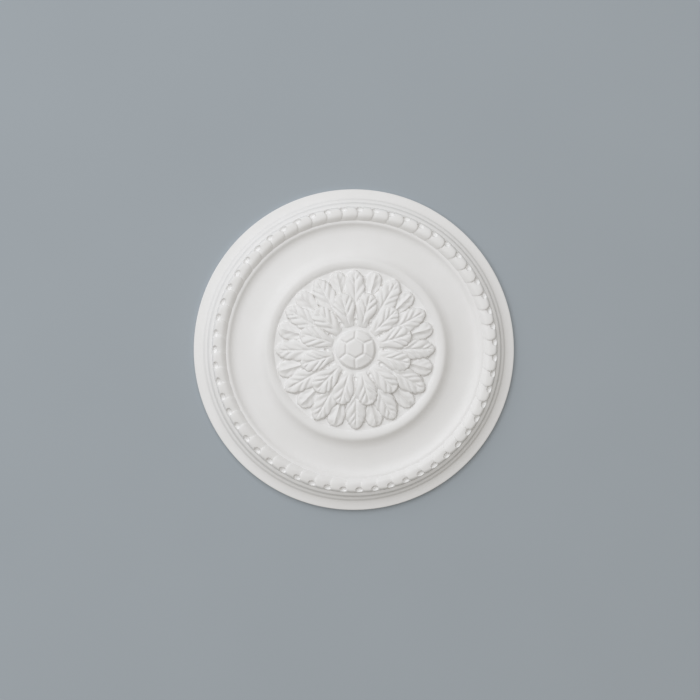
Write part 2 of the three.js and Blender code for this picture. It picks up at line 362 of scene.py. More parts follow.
def pick(chosen):
    """Selects only the vertices for which chosen(vertex) is true, in edit mode."""
    mesh = bmesh.from_edit_mesh(active().data)
    for vertex in mesh.verts:
        vertex.select_set(bool(chosen(vertex)))
    mesh.select_flush(True)
    mesh.select_flush(False)
    bmesh.update_edit_mesh(active().data)


def pick_numbers(numbers):
    """Selects only the vertices with these numbers, in edit mode."""
    wanted = set(numbers)
    pick(lambda vertex: vertex.index in wanted)


def picked():
    """Numbers and places of the selected vertices, in edit mode."""
    mesh = bmesh.from_edit_mesh(active().data)
    mesh.verts.index_update()
    return [(vertex.index, vertex.co.copy()) for vertex in mesh.verts if vertex.select]


def extrude(step):
    """Extrudes what is selected by a step."""
    bpy.ops.mesh.extrude_region_move(TRANSFORM_OT_translate={"value": tuple(step)})


def start_piece(name):
    """A new piece with a single vertex at the origin, in edit mode."""
    bpy.ops.object.select_all(action='DESELECT')
    bpy.ops.mesh.primitive_plane_add(size=mm(1), location=(0, 0, 0))
    active().name = name
    edit()
    bpy.ops.mesh.select_all(action='SELECT')
    bpy.ops.mesh.merge(type='CENTER')
    return active()


def draw_line(points):
    """Moves the selected vertex to the first point and extrudes it from point to point."""
    bpy.ops.transform.translate(value=tuple(points[0]))
    for before, after in zip(points, points[1:]):
        extrude(Vector(after) - Vector(before))


def move_to(numbers, targets):
    """Moves vertices one by one to their targets."""
    for number, target in zip(numbers, targets):
        pick_numbers([number])
        (_, place), = picked()
        bpy.ops.transform.translate(value=tuple(Vector(target) - place))


def loft(name, rows):
    """Draws the first row, then extrudes it row by row and moves each new vertex to its place."""
    piece = start_piece(name)
    draw_line(rows[0])
    numbers = numbers_at(rows[0])
    for row in rows[1:]:
        pick_numbers(numbers)
        old = {place: order for order, place in enumerate(places_of(numbers))}
        extrude((0, 0, 0))
        fresh = picked()
        numbers = [number for number, place in sorted(fresh, key=lambda pair: old[tuple(pair[1])])]
        move_to(numbers, row)
    return piece


def numbers_at(points):
    """Numbers of the vertices nearest to these points. New vertices aren't numbered as they are drawn."""
    mesh = bmesh.from_edit_mesh(active().data)
    mesh.verts.index_update()
    numbers = []
    for point in points:
        nearest = min(mesh.verts, key=lambda vertex: (vertex.co - Vector(point)).length)
        numbers.append(nearest.index)
    return numbers


def places_of(numbers):
    """Places of the vertices with these numbers, in their order."""
    mesh = bmesh.from_edit_mesh(active().data)
    mesh.verts.ensure_lookup_table()
    return [tuple(mesh.verts[number].co) for number in numbers]


def pick_open_edges():
    """Selects the edges that have a face on one side only."""
    bpy.ops.mesh.select_mode(type='EDGE')
    bpy.ops.mesh.select_all(action='DESELECT')
    bpy.ops.mesh.select_non_manifold(
        extend=False, use_wire=False, use_boundary=True,
        use_multi_face=False, use_non_contiguous=False, use_verts=False)


def close_below(floor_height, drop, draft=(1, 1, 1), centre=(0, 0, 0)):
    """Draws the open edge down to a flat floor and closes it. A line at a drop under the edge is spread out
    by the draft, so that the side slopes."""
    pick_open_edges()
    extrude((0, 0, -drop))
    bpy.ops.transform.resize(value=draft, center_override=centre)
    extrude((0, 0, -drop))
    bpy.ops.transform.resize(value=(1, 1, 0), center_override=(0, 0, floor_height))
    bpy.ops.mesh.edge_face_add()
    bpy.ops.mesh.select_mode(type='VERT')


def face_outwards():
    """Merges doubles and turns all faces outwards."""
    bpy.ops.mesh.select_all(action='SELECT')
    bpy.ops.mesh.remove_doubles(threshold=DOUBLES)
    bpy.ops.mesh.normals_make_consistent(inside=False)
    if bmesh.from_edit_mesh(active().data).calc_volume(signed=True) < 0:
        bpy.ops.mesh.flip_normals()


def face_up():
    """Turns all faces of an open sheet upwards."""
    bpy.ops.mesh.select_all(action='SELECT')
    bpy.ops.mesh.normals_make_consistent(inside=False)
    if sum(face.normal.z for face in bmesh.from_edit_mesh(active().data).faces) < 0:
        bpy.ops.mesh.flip_normals()


def apply(piece, kind, **settings):
    """Adds a modifier with these settings and applies it."""
    take(piece)
    modifier = piece.modifiers.new(kind.title(), kind)
    for key, value in settings.items():
        setattr(modifier, key, value)
    bpy.ops.object.modifier_apply(modifier=modifier.name)


def smooth(piece, levels):
    """Subdivides a piece to a smooth surface."""
    apply(piece, 'SUBSURF', levels=levels, render_levels=levels)


def copy_round(piece, clockwise, stretch=(1, 1, 1), lift=0.0):
    """A copy with its own mesh, turned clockwise about the middle of the rose, its place in its mesh."""
    take(piece)
    bpy.ops.object.duplicate(linked=False)
    copy = active()
    copy.scale = stretch
    copy.rotation_euler = (0, 0, -clockwise)
    copy.location = (0, 0, lift)
    bpy.ops.object.transform_apply(location=True, rotation=True, scale=True)
    return copy


def join(pieces, name):
    """Joins pieces that don't touch each other to one object."""
    take(pieces[0])
    for piece in pieces:
        piece.select_set(True)
    bpy.ops.object.join()
    active().name = name


def discard(piece):
    """Deletes a piece that isn't needed any more."""
    take(piece)
    bpy.ops.object.delete()


# Turned body

# Places of the cove between its low line and the rim's crest, as shares of that run and rise
COVE_MIDDLE = (0.544, 0.216)
RIM_FOOT = (0.856, 0.794)
# Place of the rounded shoulder between its low line and the fillet, as shares of that run and rise
SHOULDER = (0.753, 0.68)
# Slopes of the section where its bends meet, in degrees, counted as rising towards the middle
FLANGE_SLOPE = 8
STEP_FOOT_SLOPE = 30
SHOULDER_SLOPE = -42
COVE_MIDDLE_SLOPE = 12.5
RIM_FOOT_SLOPE = 40
FIELD_EDGE_SLOPE = -42
# How far the front of a step leans back, and how far its tread rises
RISER_RUN = mm(2.1)
TREAD_RISE = mm(1.3)
# Steps along each bend of the section, from the outside in
FLANGE_STEPS = 9
FILLET_STEPS = 5
SHOULDER_STEPS = 8
COVE_STEPS = 6
RIM_FOOT_STEPS = 7
CREST_STEPS = 6
FIELD_EDGE_STEPS = 8
MOUND_STEPS = 12
# The bevel on the section's sharp corners
BEVEL_WIDTH = mm(0.45)
BEVEL_SEGMENTS = 2
BEVEL_ANGLE = math.radians(24)


def bend(start, start_slope, end, end_slope, steps):
    """Points of a smooth bend of the section that leaves its start and meets its end at the given slopes."""
    leave_slope = math.tan(math.radians(start_slope))
    meet_slope = math.tan(math.radians(end_slope))
    run = start[0] - end[0]
    corner_run = (end[1] - start[1] - meet_slope * run) / (leave_slope - meet_slope)
    corner = (start[0] - corner_run, start[1] + leave_slope * corner_run)
    points = []
    for step in range(steps + 1):
        share = step / steps
        weights = ((1 - share) ** 2, 2 * share * (1 - share), share ** 2)
        radius = sum(weight * point[0] for weight, point in zip(weights, (start, corner, end)))
        height = sum(weight * point[1] for weight, point in zip(weights, (start, corner, end)))
        points.append((radius, height))
    return points


def slope(start, end, steps):
    """Points of an S-shaped slope that is level at both ends."""
    points = []
    for step in range(steps + 1):
        share = step / steps
        rise = (1 - math.cos(math.pi * share)) / 2
        points.append((start[0] + (end[0] - start[0]) * share, start[1] + (end[1] - start[1]) * rise))
    return points


def border_points(size):
    """From the back's edge over the hollow flange and the two steps to the rope's outer foot."""
    edge = (size.outer_radius, size.edge_height)
    foot = (size.step_radius, size.step_foot)
    low = size.step_foot + size.low_rise
    high = low + TREAD_RISE + size.high_rise
    points = [(size.outer_radius, 0)] + bend(edge, FLANGE_SLOPE, foot, STEP_FOOT_SLOPE, FLANGE_STEPS)
    points += [(size.step_radius - RISER_RUN, low), (size.high_radius, low + TREAD_RISE)]
    points += [(size.high_radius - RISER_RUN, high), (size.rope_outside, size.rope_foot)]
    return points


def between(start, end, shares):
    """The point at these shares of the run and the rise from one point of the section to another."""
    return tuple(a + share * (b - a) for a, b, share in zip(start, end, shares))


def cove_points(size):
    """From the rope's inner foot over the fillet, the cove and the round rim to the field."""
    fillet = (size.fillet_radius, size.fillet_height)
    low = (size.cove_radius, size.cove_height)
    crest = (size.rim_radius, size.rim_height)
    shoulder = between(low, fillet, SHOULDER)
    middle = between(low, crest, COVE_MIDDLE)
    foot = between(low, crest, RIM_FOOT)
    field = (size.field_radius, size.field_height)
    points = [(size.rope_inside, size.fillet_height)]
    points += bend(fillet, 0, shoulder, SHOULDER_SLOPE, FILLET_STEPS)
    points += bend(shoulder, SHOULDER_SLOPE, low, 0, SHOULDER_STEPS)[1:]
    points += bend(low, 0, middle, COVE_MIDDLE_SLOPE, COVE_STEPS)[1:]
    points += bend(middle, COVE_MIDDLE_SLOPE, foot, RIM_FOOT_SLOPE, RIM_FOOT_STEPS)[1:]
    points += bend(foot, RIM_FOOT_SLOPE, crest, 0, CREST_STEPS)[1:]
    points += bend(crest, 0, field, FIELD_EDGE_SLOPE, FIELD_EDGE_STEPS)[1:]
    return points


def body_points(size):
    """The whole section of the body, from the middle of the back round to the middle of the front."""
    foot = (size.mound_radius, size.field_height)
    mound = slope(foot, (size.moat_radius, size.mound_height), MOUND_STEPS)
    section = [(0, 0)] + border_points(size) + cove_points(size) + mound + [(0, size.mound_height)]
    return [(radius, 0, height) for radius, height in section]


class ROSE_OT_body(bpy.types.Operator):
    """Turns the body of the rose from its section"""
    bl_idname = "rose.body"
    bl_label = "Turn Body"

    def execute(self, context):
        size = context.scene.rose.body
        piece = start_piece(BODY)
        draw_line(body_points(size))
        bpy.ops.mesh.select_all(action='SELECT')
        bpy.ops.mesh.spin(steps=size.turns, angle=2 * math.pi, center=(0, 0, 0), axis=(0, 0, 1))
        face_outwards()
        leave()
        apply(
            piece, 'BEVEL', width=BEVEL_WIDTH, segments=BEVEL_SEGMENTS,
            limit_method='ANGLE', angle_limit=BEVEL_ANGLE)
        return {'FINISHED'}


# Rope

# Stations along a husk from its hidden tail to its nose: place in pitches, share of the outer half width,
# and the shares of the bulge on the inner and on the outer side
HUSK_STATIONS = (
    (-0.70, 0.95, 0.74, 0.44),
    (-0.55, 0.96, 0.77, 0.50),
    (-0.42, 0.97, 0.82, 0.62),
    (-0.24, 0.99, 0.90, 0.80),
    (0.00, 1.00, 0.97, 0.95),
    (0.22, 1.00, 1.00, 1.00),
    (0.36, 0.98, 0.99, 0.98),
    (0.44, 0.94, 0.93, 0.88),
    (0.475, 0.88, 0.76, 0.60),
)
# Points across a husk from under its inner foot to under its outer one: place, share of the bulge
HUSK_SECTION = (
    (-1.22, -0.35), (-0.72, 0.50), (-0.36, 0.93), (0.00, 1.00),
    (0.42, 0.98), (0.74, 0.90), (0.95, 0.40), (1.06, -0.50))
# Where the outer side of a tail starts to lie lower than its inner side, and over which run it does so
TAIL_TURN = -0.20
TAIL_TURN_RUN = 0.6
# Square of the place across a husk, in half widths, where the bow of its nose is nil
BOW_REST = 0.5
# How far a husk's nose lies ahead of its middle, in pitches
NOSE_LEAD = 0.5
HUSK_SMOOTHING = 1
# How much longer or shorter than a ball the pits are along the rope, across it and in depth
PIT_STRETCH = (1.4, 1.0, 0.95)
# How far the front end of a pit is tilted up
PIT_TILT = math.radians(14)
PIT_SEGMENTS = 16
PIT_RINGS = 10


def ease(share):
    """A smooth step from 0 to 1."""
    share = min(1, max(0, share))
    return share * share * (3 - 2 * share)


def husk_rows(body, rope):
    """Arched rows of points along one husk, whose nose points clockwise."""
    middle = (body.rope_inside + body.rope_outside) / 2
    half_width = (body.rope_outside - body.rope_inside) / 2
    foot_middle = (body.rope_foot + body.fillet_height) / 2
    foot_fall = (body.fillet_height - body.rope_foot) / 2
    pitch = 2 * math.pi * middle / rope.husk_count
    rows = []
    for place, width, inner, outer in HUSK_STATIONS:
        row = []
        for across, bulge in HUSK_SECTION:
            bow = rope.nose_bow * (BOW_REST - across * across)
            height = inner + (outer - inner) * ease((across - TAIL_TURN) / TAIL_TURN_RUN)
            foot = foot_middle - across * foot_fall
            side = across * half_width * (width if across > 0 else 1)
            row.append((place * pitch + bow, middle + side, foot + rope.crest * height * bulge))
        rows.append(row)
    return rows


def close_ends(first, last):
    """Closes the first and the last row of a loft with a face each."""
    for numbers in (first, last):
        pick_numbers(numbers)
        bpy.ops.mesh.edge_face_add()


def model_pits(name, place, radius, stretch, tilt, count, first_angle):
    """A ring of small balls that are cut from the casting as pits."""
    bpy.ops.object.select_all(action='DESELECT')
    bpy.ops.mesh.primitive_uv_sphere_add(
        segments=PIT_SEGMENTS, ring_count=PIT_RINGS, radius=radius, location=place)
    pit = active()
    pit.scale = stretch
    pit.rotation_euler = (0, -tilt, 0)
    bpy.ops.object.transform_apply(location=True, rotation=True, scale=True)
    turns = [first_angle + 2 * math.pi * number / count for number in range(count)]
    join([copy_round(pit, turn) for turn in turns], name)
    discard(pit)


class ROSE_OT_rope(bpy.types.Operator):
    """Models one husk and lays its copies round the rose in three groups that don't overlap in themselves"""
    bl_idname = "rose.rope"
    bl_label = "Lay Rope"

    def execute(self, context):
        body = context.scene.rose.body
        rope = context.scene.rose.rope
        rows = husk_rows(body, rope)
        husk = loft("husk", rows)
        width = len(rows[0])
        total = width * len(rows)
        close_ends(range(width), range(total - width, total))
        close_below(body.rope_foot - rope.sunk, rope.sunk / 2)
        face_outwards()
        leave()
        smooth(husk, HUSK_SMOOTHING)
        groups = ([], [], [])
        for number in range(rope.husk_count):
            turn = rope.first_angle + 2 * math.pi * (number - NOSE_LEAD) / rope.husk_count
            last = number == rope.husk_count - 1
            groups[2 if last else number % 2].append(copy_round(husk, turn))
        for order, group in enumerate(groups):
            join(group, ROPE + str(order))
        discard(husk)
        place = (0, rope.pit_place, rope.pit_height)
        first = rope.first_angle + rope.pit_lead
        model_pits(PITS, place, rope.pit_radius, PIT_STRETCH, PIT_TILT, rope.husk_count, first)
        return {'FINISHED'}


# Leaves

# Points across a half blade from the midrib to the edge: place, share of the edge's fall
BLADE_COLUMNS = ((0.00, 0.00), (0.24, 0.04), (0.48, 0.14), (0.71, 0.31), (0.90, 0.60), (1.00, 1.00))
BLADE_ROWS = 9
# How much closer the rows lie towards the tip
ROW_CROWDING = 1.4
# How far a side vein runs towards the tip for its way across the blade
VEIN_SLANT = 1.25
# How far the veins of the left half lie ahead of those of the right one, in pitches
LEFT_LEAD = 0.35
# How far the veins wander from an even spacing, and over how many pitches
VEIN_WANDER = 0.16
WANDER_PITCHES = 2.3
# Below 1, lobes are broader than the veins between them
LOBE_FULLNESS = 0.6
# Shares of the half width and of the length over which lobes fade out at the midrib, the edge, tip and root
MIDRIB_FADE = 0.30
EDGE_FADE = 0.14
TIP_FADE = 0.14
ROOT_FADE = 0.34
MIDRIB_WIDTH = mm(1.1)
# Where across a half blade a side vein is hollowed out, and over which part of it
HOLLOW_AT = 0.30
HOLLOW_LENGTH = 0.22
# Powers that keep the hollows to the veins, and the notches to the edge
HOLLOW_POWER = 2
NOTCH_POWER = 3
# Power of the fall from the crown to the tip, which is slow at first
TIP_DROOP = 1.5
# Share of the half width that the ridge of a lower leaf takes
RIDGE_WIDTH = 0.42
# Above 1, the sides of that ridge are hollow
RIDGE_SHARPNESS = 1.2
# For the lower, the middle and the top tier: shares of the length at which a leaf is widest and highest,
# share of the width at the root, and how blunt or pointed the tip is
WIDEST_AT = (0.72, 0.62, 0.64)
CROWN_AT = (0.30, 0.50, 0.50)
ROOT_SHARE = (0.50, 0.44, 0.42)
TIP_ROUNDNESS = (0.54, 0.53, 0.46)
TIP_SHARPNESS = (0.88, 0.97, 0.97)
# For the same tiers: how strong lobes, midrib and ridge are, and how finely a leaf is smoothed
LOBE_STRENGTH = (0.6, 1.0, 1.0)
MIDRIB_STRENGTH = (0.0, 1.0, 1.0)
RIDGE_STRENGTH = (1.0, 0.0, 0.0)
LEAF_SMOOTHING = (1, 2, 2)
# How far below its edge a leaf is wider and longer, and by how much
LEAF_DROP = mm(2.6)
LEAF_DRAFT = (1.15, 1.045, 1)
# The two halves of a leaf are joined where they are closer than this
MIDRIB_MERGE = mm(0.05)
# What lies lower than this over the floor of a leaf is left without veins
FLOOR_MARGIN = mm(0.5)
# Ranges in which leaves differ: factors on vein pitch, puff, width and length, and the lift in millimetres
PITCH_RANGE = (0.9, 1.15)
PUFF_RANGE = (0.8, 1.1)
WIDTH_RANGE = (0.94, 1.04)
LENGTH_RANGE = (0.985, 1.01)
LIFT_RANGE = (-0.3, 0.3)
# How much longer than a ball the eyes are, away from the middle
EYE_STRETCH = (1, 1.25, 1)


def blade_width(tier, share):
    """Half width of a leaf at a share of its length, as a share of the greatest one."""
    widest = WIDEST_AT[tier]
    if share <= widest:
        return ROOT_SHARE[tier] + (1 - ROOT_SHARE[tier]) * ease(share / widest)
    past = min(1, (share - widest) / (1 - widest))
    return (1 - TIP_SHARPNESS[tier] * past * past) ** TIP_ROUNDNESS[tier]


def blade_height(size, tier, share):
    """Height of a leaf's back: from the root up to the crown and down to the tip."""
    root, crown, tip = size.root_height[tier], size.crown_height[tier], size.tip_height[tier]
    if share <= CROWN_AT[tier]:
        return root + (crown - root) * math.sin(math.pi / 2 * share / CROWN_AT[tier])
    past = (share - CROWN_AT[tier]) / (1 - CROWN_AT[tier])
    return crown + (tip - crown) * past ** TIP_DROOP


def blade_rows(size, tier):
    """Rows of points across a half blade, from the root to the tip."""
    length = size.tip_radius[tier] - size.root_radius[tier]
    rows = []
    for number in range(BLADE_ROWS + 1):
        share = 1 - (1 - number / BLADE_ROWS) ** ROW_CROWDING
        half = size.half_width[tier] * blade_width(tier, share)
        height = blade_height(size, tier, share)
        drop = size.edge_fall[tier] * blade_width(tier, share)
        y = size.root_radius[tier] + length * share
        rows.append([(across * half, y, height - drop * fall) for across, fall in BLADE_COLUMNS])
    return rows


def lobe_height(pitch, lead, x, y):
    """Share of a lobe's puff at a place on the blade: none on a side vein, most between two veins."""
    place = (y - VEIN_SLANT * abs(x)) / pitch + lead + (LEFT_LEAD if x < 0 else 0)
    place += VEIN_WANDER * math.sin(2 * math.pi * (place / WANDER_PITCHES + lead))
    return (0.5 - 0.5 * math.cos(2 * math.pi * place)) ** LOBE_FULLNESS


def press_veins(leaf, size, tier, floor_height, draw):
    """Presses midrib and side veins into a blade vertex by vertex, which no operator does. Soft lobes stand
    between the veins and notch the edge."""
    root = size.root_radius[tier]
    length = size.tip_radius[tier] - root
    half = size.half_width[tier]
    pitch = size.vein_pitch * draw.uniform(*PITCH_RANGE)
    lead = draw.uniform(0, 1)
    puff = size.puff * LOBE_STRENGTH[tier] * draw.uniform(*PUFF_RANGE)
    for vertex in leaf.data.vertices:
        x, y, z = vertex.co
        if z < floor_height + FLOOR_MARGIN:
            continue
        share = min(1, max(0, (y - root) / length))
        across = min(1, abs(x) / (half * blade_width(tier, share)))
        lobe = lobe_height(pitch, lead, x, y - root)
        tip_fade = ease((1 - share) / TIP_FADE)
        root_fade = ease(share / ROOT_FADE)
        swell = ease(across / MIDRIB_FADE) * ease((1 - across) / EDGE_FADE) * tip_fade * root_fade
        groove = MIDRIB_STRENGTH[tier] * math.exp(-(x / MIDRIB_WIDTH) ** 2) * tip_fade * root_fade
        ridge = RIDGE_STRENGTH[tier] * max(0, 1 - across / RIDGE_WIDTH) ** RIDGE_SHARPNESS * tip_fade
        notch = size.notch * LOBE_STRENGTH[tier] * root_fade * (1 - lobe) * across ** NOTCH_POWER
        vertex.co.x = x * (1 - notch)
        start = math.exp(-((across - HOLLOW_AT) / HOLLOW_LENGTH) ** 2) * (1 - lobe) ** HOLLOW_POWER
        hollow = LOBE_STRENGTH[tier] * start * tip_fade * root_fade
        rise = puff * lobe * swell + size.ridge * ridge
        vertex.co.z = z + rise - size.midrib * groove - size.vein_hollow * hollow


def model_leaf(size, tier, floor_height):
    """One smooth leaf that points to the top of the rose: half a blade, mirrored and closed below."""
    leaf = loft("leaf", blade_rows(size, tier))
    leave()
    apply(leaf, 'MIRROR', use_axis=(True, False, False), use_clip=True, merge_threshold=MIDRIB_MERGE)
    edit()
    middle = (size.root_radius[tier] + size.tip_radius[tier]) / 2
    close_below(floor_height, LEAF_DROP, LEAF_DRAFT, (0, middle, 0))
    face_outwards()
    leave()
    smooth(leaf, LEAF_SMOOTHING[tier])
    return leaf


class ROSE_OT_leaves(bpy.types.Operator):
    """Models one leaf of each tier and lays its copies round the rose, each a little different"""
    bl_idname = "rose.leaves"
    bl_label = "Lay Leaves"

    def execute(self, context):
        size = context.scene.rose.leaf
        floor_height = context.scene.rose.body.field_height - SUNK
        draw = random.Random(size.seed)
        for tier, name in enumerate(TIER_NAMES):
            leaf = model_leaf(size, tier, floor_height)
            groups = ([], [])
            for number in range(size.count):
                turn = size.turn[tier] + 2 * math.pi * number / size.count
                turn += draw.uniform(-1, 1) * size.spread
                stretch = (draw.uniform(*WIDTH_RANGE), draw.uniform(*LENGTH_RANGE), 1)
                veined = copy_round(leaf, 0)
                press_veins(veined, size, tier, floor_height, draw)
                lift = mm(draw.uniform(*LIFT_RANGE))
                groups[number % 2].append(copy_round(veined, turn, stretch, lift))
                discard(veined)
            for order, group in enumerate(groups):
                join(group, LEAVES + name + "_" + str(order))
            discard(leaf)
        place = (0, size.eye_place, size.eye_height)
        model_pits(EYES, place, size.eye_radius, EYE_STRETCH, 0, size.count, 0)
        return {'FINISHED'}


# Boss

BOSS_SIDES = 6
SIDE_CUTS = 3
BOSS_EDGE_POINTS = 36
# Above 2, the dome is flatter in its middle than a ball is
DOME_POWER = 2.4
# How far below its edge the boss is wider, and by how much
BOSS_DROP = mm(1.8)
BOSS_DRAFT = (1.085, 1.085, 1)
BOSS_SMOOTHING = 2


def dome_height(size, radius):
    """Height of the dome's grooves at a distance from its middle."""
    return size.crown - size.groove_depth - size.fall * (radius / size.radius) ** DOME_POWER


def ring_points(centre, radius, count, turn):
    """Points round a circle, clockwise from its top."""
    points = []
    for number in range(count):
        angle = turn + 2 * math.pi * number / count
        points.append((centre[0] + radius * math.sin(angle), centre[1] + radius * math.cos(angle)))
    return points


def draw_ring(size, points):
    """Adds a ring of vertices on the dome and returns their numbers."""
    targets = [(x, y, dome_height(size, math.hypot(x, y))) for x, y in points]
    bpy.ops.mesh.primitive_circle_add(vertices=len(targets), radius=size.radius)
    clockwise = sorted(picked(), key=lambda pair: math.atan2(pair[1].x, pair[1].y))
    numbers = [number for number, place in clockwise]
    move_to(numbers, targets)
    return numbers


def hexagon_points(corners):
    """Points along the straight sides of the hexagon, clockwise from its first corner."""
    points = []
    for start, end in zip(corners, corners[1:] + corners[:1]):
        for cut in range(SIDE_CUTS + 1):
            share = cut / (SIDE_CUTS + 1)
            points.append(tuple(a + (b - a) * share for a, b in zip(start, end)))
    return points


def run_of(numbers, start, end):
    """Numbers of a closed ring from one place on it to another, clockwise."""
    if end <= start:
        end += len(numbers)
    return [numbers[place % len(numbers)] for place in range(start, end + 1)]


def draw_spoke(corner, edge):
    """Draws the groove line from a corner of the hexagon to the edge and returns its middle numbers."""
    pick_numbers([corner, edge])
    bpy.ops.mesh.edge_face_add()
    bpy.ops.mesh.subdivide(number_cuts=SIDE_CUTS)
    return [number for number, place in picked() if number not in (corner, edge)]


class ROSE_OT_boss(bpy.types.Operator):
    """Models the domed boss: a hexagon and six plates round it, raised between sloping grooves"""
    bl_idname = "rose.boss"
    bl_label = "Model Boss"

    def execute(self, context):
        size = context.scene.rose.boss
        piece = start_piece(BOSS)
        bpy.ops.mesh.delete(type='VERT')
        corners = ring_points(size.hexagon_centre, size.hexagon, BOSS_SIDES, size.hexagon_turn)
        rim = ring_points((0, 0), size.radius, BOSS_EDGE_POINTS, 0)
        hexagon = draw_ring(size, hexagon_points(corners))
        edge = draw_ring(size, rim)
        spokes = []
        for x, y in corners:
            way = Vector((x, y)) - Vector(size.hexagon_centre)
            reach = Vector((x, y)) + way.normalized() * (size.radius - size.hexagon)
            spokes.append(min(range(len(rim)), key=lambda number: (Vector(rim[number]) - reach).length))
        places = range(0, len(hexagon), SIDE_CUTS + 1)
        lines = [draw_spoke(hexagon[place], edge[spoke]) for place, spoke in zip(places, spokes)]
        pick_numbers(hexagon)
        bpy.ops.mesh.edge_face_add()
        for side in range(BOSS_SIDES):
            following = (side + 1) % BOSS_SIDES
            inner = run_of(hexagon, places[side], places[following])
            outer = run_of(edge, spokes[side], spokes[following])
            pick_numbers(inner + outer + lines[side] + lines[following])
            bpy.ops.mesh.edge_face_add()
        face_up()
        bpy.ops.mesh.select_mode(type='FACE')
        bpy.ops.mesh.select_all(action='SELECT')
        bpy.ops.mesh.inset(thickness=size.groove_width / 2, depth=size.groove_depth, use_individual=True)
        bpy.ops.mesh.inset(thickness=size.pillow_width, depth=size.pillow_height, use_individual=True)
        bpy.ops.mesh.select_mode(type='VERT')
        close_below(context.scene.rose.body.mound_height - SUNK, BOSS_DROP, BOSS_DRAFT)
        face_outwards()
        leave()
        smooth(piece, BOSS_SMOOTHING)
        return {'FINISHED'}


# Finish

def add_node(tree, kind, inputs=None, **settings):
    """Adds a node with its settings. An input is given as a value or as the socket that is linked to it."""
    node = tree.nodes.new(kind)
    for key, value in settings.items():
        setattr(node, key, value)
    for key, value in (inputs or {}).items():
        if isinstance(value, bpy.types.NodeSocket):
            tree.links.new(value, node.inputs[key])
        else:
            node.inputs[key].default_value = value
    return node


def new_material(name):
    """A material with an empty node tree."""
    material = bpy.data.materials.new(name)
    material.use_nodes = True
    material.node_tree.nodes.clear()
    return material, material.node_tree


def per_metre(millimetres):
    """Scale of a noise whose grains are that wide."""
    return 1 / mm(millimetres)


def white_primer_on_polyurethane_foam(finish):
    """Rigid foam cast in a mould and sprayed with a matt white primer: no gloss to speak of, a faint
    cloudiness where the primer lies thin, a very fine grain from the spray, and painted shade in narrow
    grooves."""
    material, tree = new_material("white_primer_on_polyurethane_foam")
    place = add_node(tree, 'ShaderNodeTexCoord').outputs["Object"]
    cloud = add_node(tree, 'ShaderNodeTexNoise', {
        "Vector": place, "Scale": per_metre(38), "Detail": 3.0, "Roughness": 0.55})
    colour = add_node(tree, 'ShaderNodeMix', {
        "Factor": cloud.outputs["Fac"], "A": (*finish.primer, 1), "B": (*finish.primer_thin, 1)},
        data_type='RGBA')
    # Painted shade: grooves a few millimetres wide, found by ambient occlusion, are darkened and warmed
    # towards the hollow colour in place of their shade and warm bounce light
    painted_shade_occlusion = add_node(tree, 'ShaderNodeAmbientOcclusion', {"Distance": mm(5)}, samples=8, only_local=True)
    reach = add_node(tree, 'ShaderNodeMapRange', {
        "Value": painted_shade_occlusion.outputs["AO"], "From Min": 0.20, "From Max": 0.70, "To Min": 1.0, "To Max": 0.0})
    coat_with_painted_shade = add_node(tree, 'ShaderNodeMix', {
        "Factor": reach.outputs["Result"], "A": colour.outputs["Result"], "B": (*finish.hollow, 1)},
        data_type='RGBA')
    # The spray's grain is about 0.2 mm and is drawn at 1.6 mm, so that it shows at all
    grain = add_node(tree, 'ShaderNodeTexNoise', {"Vector": place, "Scale": per_metre(1.6), "Detail": 2.0})
    bump = add_node(tree, 'ShaderNodeBump', {
        "Height": grain.outputs["Fac"], "Strength": 0.12, "Distance": mm(0.25)})
    sheen = add_node(tree, 'ShaderNodeMapRange', {
        "Value": cloud.outputs["Fac"], "From Min": 0.3, "From Max": 0.7, "To Min": 0.56, "To Max": 0.68})
    shader = add_node(tree, 'ShaderNodeBsdfPrincipled', {
        "Base Color": coat_with_painted_shade.outputs["Result"], "Roughness": sheen.outputs["Result"],
        "Normal": bump.outputs["Normal"], "IOR": 1.46})
    add_node(tree, 'ShaderNodeOutputMaterial', {"Surface": shader.outputs["BSDF"]})
    return material


def painted_floor(colour):
    """A board painted in a pale blue grey: even, matt, with a trace of roller marks."""
    material, tree = new_material("painted_floor_board")
    place = add_node(tree, 'ShaderNodeTexCoord').outputs["Object"]
    marks = add_node(tree, 'ShaderNodeTexNoise', {"Vector": place, "Scale": per_metre(180), "Detail": 2.0})
    tone = add_node(tree, 'ShaderNodeMapRange', {
        "Value": marks.outputs["Fac"], "To Min": 0.98, "To Max": 1.02})
    paint = add_node(tree, 'ShaderNodeVectorMath', {
        0: colour, 1: tone.outputs["Result"]}, operation='MULTIPLY')
    shader = add_node(tree, 'ShaderNodeBsdfPrincipled', {
        "Base Color": paint.outputs["Vector"], "Roughness": 0.9, "Specular IOR Level": 0.1})
    add_node(tree, 'ShaderNodeOutputMaterial', {"Surface": shader.outputs["BSDF"]})
    return material


# Casting

# Edges that bend less than this are shaded smooth
SMOOTH_ANGLE = math.radians(40)


def fuse(casting, tool, operation='UNION'):
    """Joins a tool piece to the casting as one closed solid, or cuts it off, and deletes it."""
    before = len(casting.data.polygons)
    apply(casting, 'BOOLEAN', operation=operation, solver='MANIFOLD', object=tool)
    if len(casting.data.polygons) == before:
        raise RuntimeError("the casting wasn't changed by " + tool.name)
    discard(tool)


def piece_names():
    """Names of the pieces that are fused to the body, in order."""
    names = [ROPE + str(order) for order in range(3)]
    for name in TIER_NAMES:
        names += [LEAVES + name + "_" + str(order) for order in range(2)]
    return names + [BOSS]


